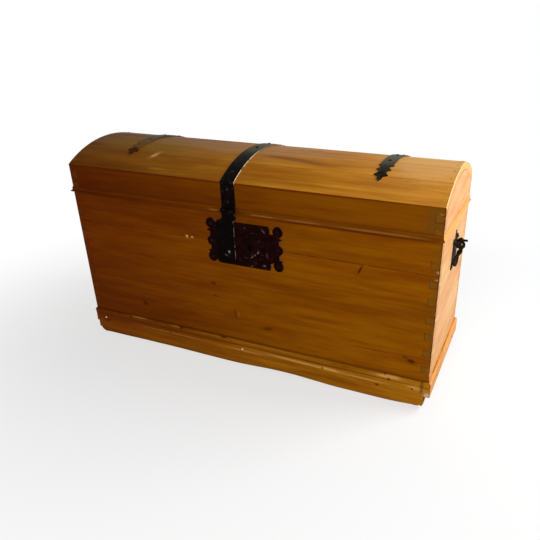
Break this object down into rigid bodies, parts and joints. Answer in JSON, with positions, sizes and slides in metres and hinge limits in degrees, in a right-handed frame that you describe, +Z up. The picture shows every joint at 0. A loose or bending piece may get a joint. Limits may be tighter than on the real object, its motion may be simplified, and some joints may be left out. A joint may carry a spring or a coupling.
{
  "type": "sea chest",
  "caption": "Domed-lid pine sea chest with dovetailed boards, iron straps, a hasp over a lobed lock plate, and a drop handle on each end; the lid, hasp, bolt and handles move.",
  "frame": {"origin": "on the floor, under the middle of the chest", "axes": "+X to the chest's right as seen from the front, along its length; +Y to the back; +Z up"},
  "size_m": [1.16, 0.4098, 0.6154],
  "materials": {
    "board_pine": "waxed old pine, dark honey brown, satin",
    "end_pine": "waxed old pine, satin",
    "lid_pine": "waxed old pine, lighter and worn, satin",
    "moulding_pine": "waxed old pine moulding with worn edges",
    "base_pine": "waxed old pine, scuffed",
    "bare_pine": "unfinished old pine",
    "wrought_iron": "forged iron, blackened and waxed",
    "lock_iron": "forged iron, brown-black and scratched",
    "handle_iron": "forged iron, blackened and rubbed",
    "forged_nails": "forged iron nail heads, rubbed bright on top"
  },
  "bodies": {
    "chest": {"back_lower_board": "board_pine", "back_upper_board": "board_pine", "bottom_front_board": "bare_pine", "bottom_rear_board": "bare_pine", "front_lower_board": "board_pine", "front_plinth": "moulding_pine", "front_runner": "base_pine", "front_upper_board": "board_pine", "hinge_leaf_nails": "forged_nails", "left_end_lower_board": "end_pine", "left_end_upper_board": "end_pine", "left_handle_eyes": "handle_iron", "left_handle_nails": "forged_nails", "left_handle_plate": "handle_iron", "left_hinge_leaf": "wrought_iron", "left_hinge_pin": "wrought_iron", "left_plinth": "moulding_pine", "lock_case": "lock_iron", "lock_plate": "lock_iron", "lock_plate_nails": "forged_nails", "lock_spring": "lock_iron", "plinth_nails": "forged_nails", "rear_runner": "base_pine", "right_end_lower_board": "end_pine", "right_end_upper_board": "end_pine", "right_handle_eyes": "handle_iron", "right_handle_nails": "forged_nails", "right_handle_plate": "handle_iron", "right_hinge_leaf": "wrought_iron", "right_hinge_pin": "wrought_iron", "right_plinth": "moulding_pine"},
    "lid": {"centre_strap": "wrought_iron", "centre_strap_nails": "forged_nails", "hasp_pin": "wrought_iron", "left_hinge_strap": "wrought_iron", "left_hinge_strap_nails": "forged_nails", "lid_back_board": "board_pine", "lid_front_bead_left": "moulding_pine", "lid_front_bead_right": "moulding_pine", "lid_front_board": "board_pine", "lid_left_bead": "moulding_pine", "lid_left_end": "end_pine", "lid_right_bead": "moulding_pine", "lid_right_end": "end_pine", "lid_stave_1": "lid_pine", "lid_stave_2": "lid_pine", "lid_stave_3": "lid_pine", "lid_stave_4": "lid_pine", "lid_stave_5": "lid_pine", "right_hinge_strap": "wrought_iron", "right_hinge_strap_nails": "forged_nails", "stave_nails": "forged_nails"},
    "hasp": {"hasp_leaf": "wrought_iron", "hasp_staple": "wrought_iron"},
    "lock_bolt": {"lock_bolt": "lock_iron"},
    "left_bail": {"left_handle_bail": "handle_iron"},
    "right_bail": {"right_handle_bail": "handle_iron"}
  },
  "joints": [
    {"name": "lid_hinge", "type": "hinge", "parent": "chest", "child": "lid", "pos_m": [0, 0.1989, 0.47], "axis": [-1, 0, 0], "range_deg": [0, 105]},
    {"name": "hasp_hinge", "type": "hinge", "parent": "lid", "child": "hasp", "pos_m": [-0.015, -0.1989, 0.4775], "axis": [-1, 0, 0], "range_deg": [0, 165]},
    {"name": "bolt_slide", "type": "slide", "parent": "chest", "child": "lock_bolt", "axis": [-1, 0, 0], "range_m": [0, 0.016]},
    {"name": "left_bail_hinge", "type": "hinge", "parent": "chest", "child": "left_bail", "pos_m": [-0.562, 0, 0.406], "axis": [0, 1, 0], "range_deg": [0, 110]},
    {"name": "right_bail_hinge", "type": "hinge", "parent": "chest", "child": "right_bail", "pos_m": [0.562, 0, 0.406], "axis": [0, -1, 0], "range_deg": [0, 110]}
  ]
}
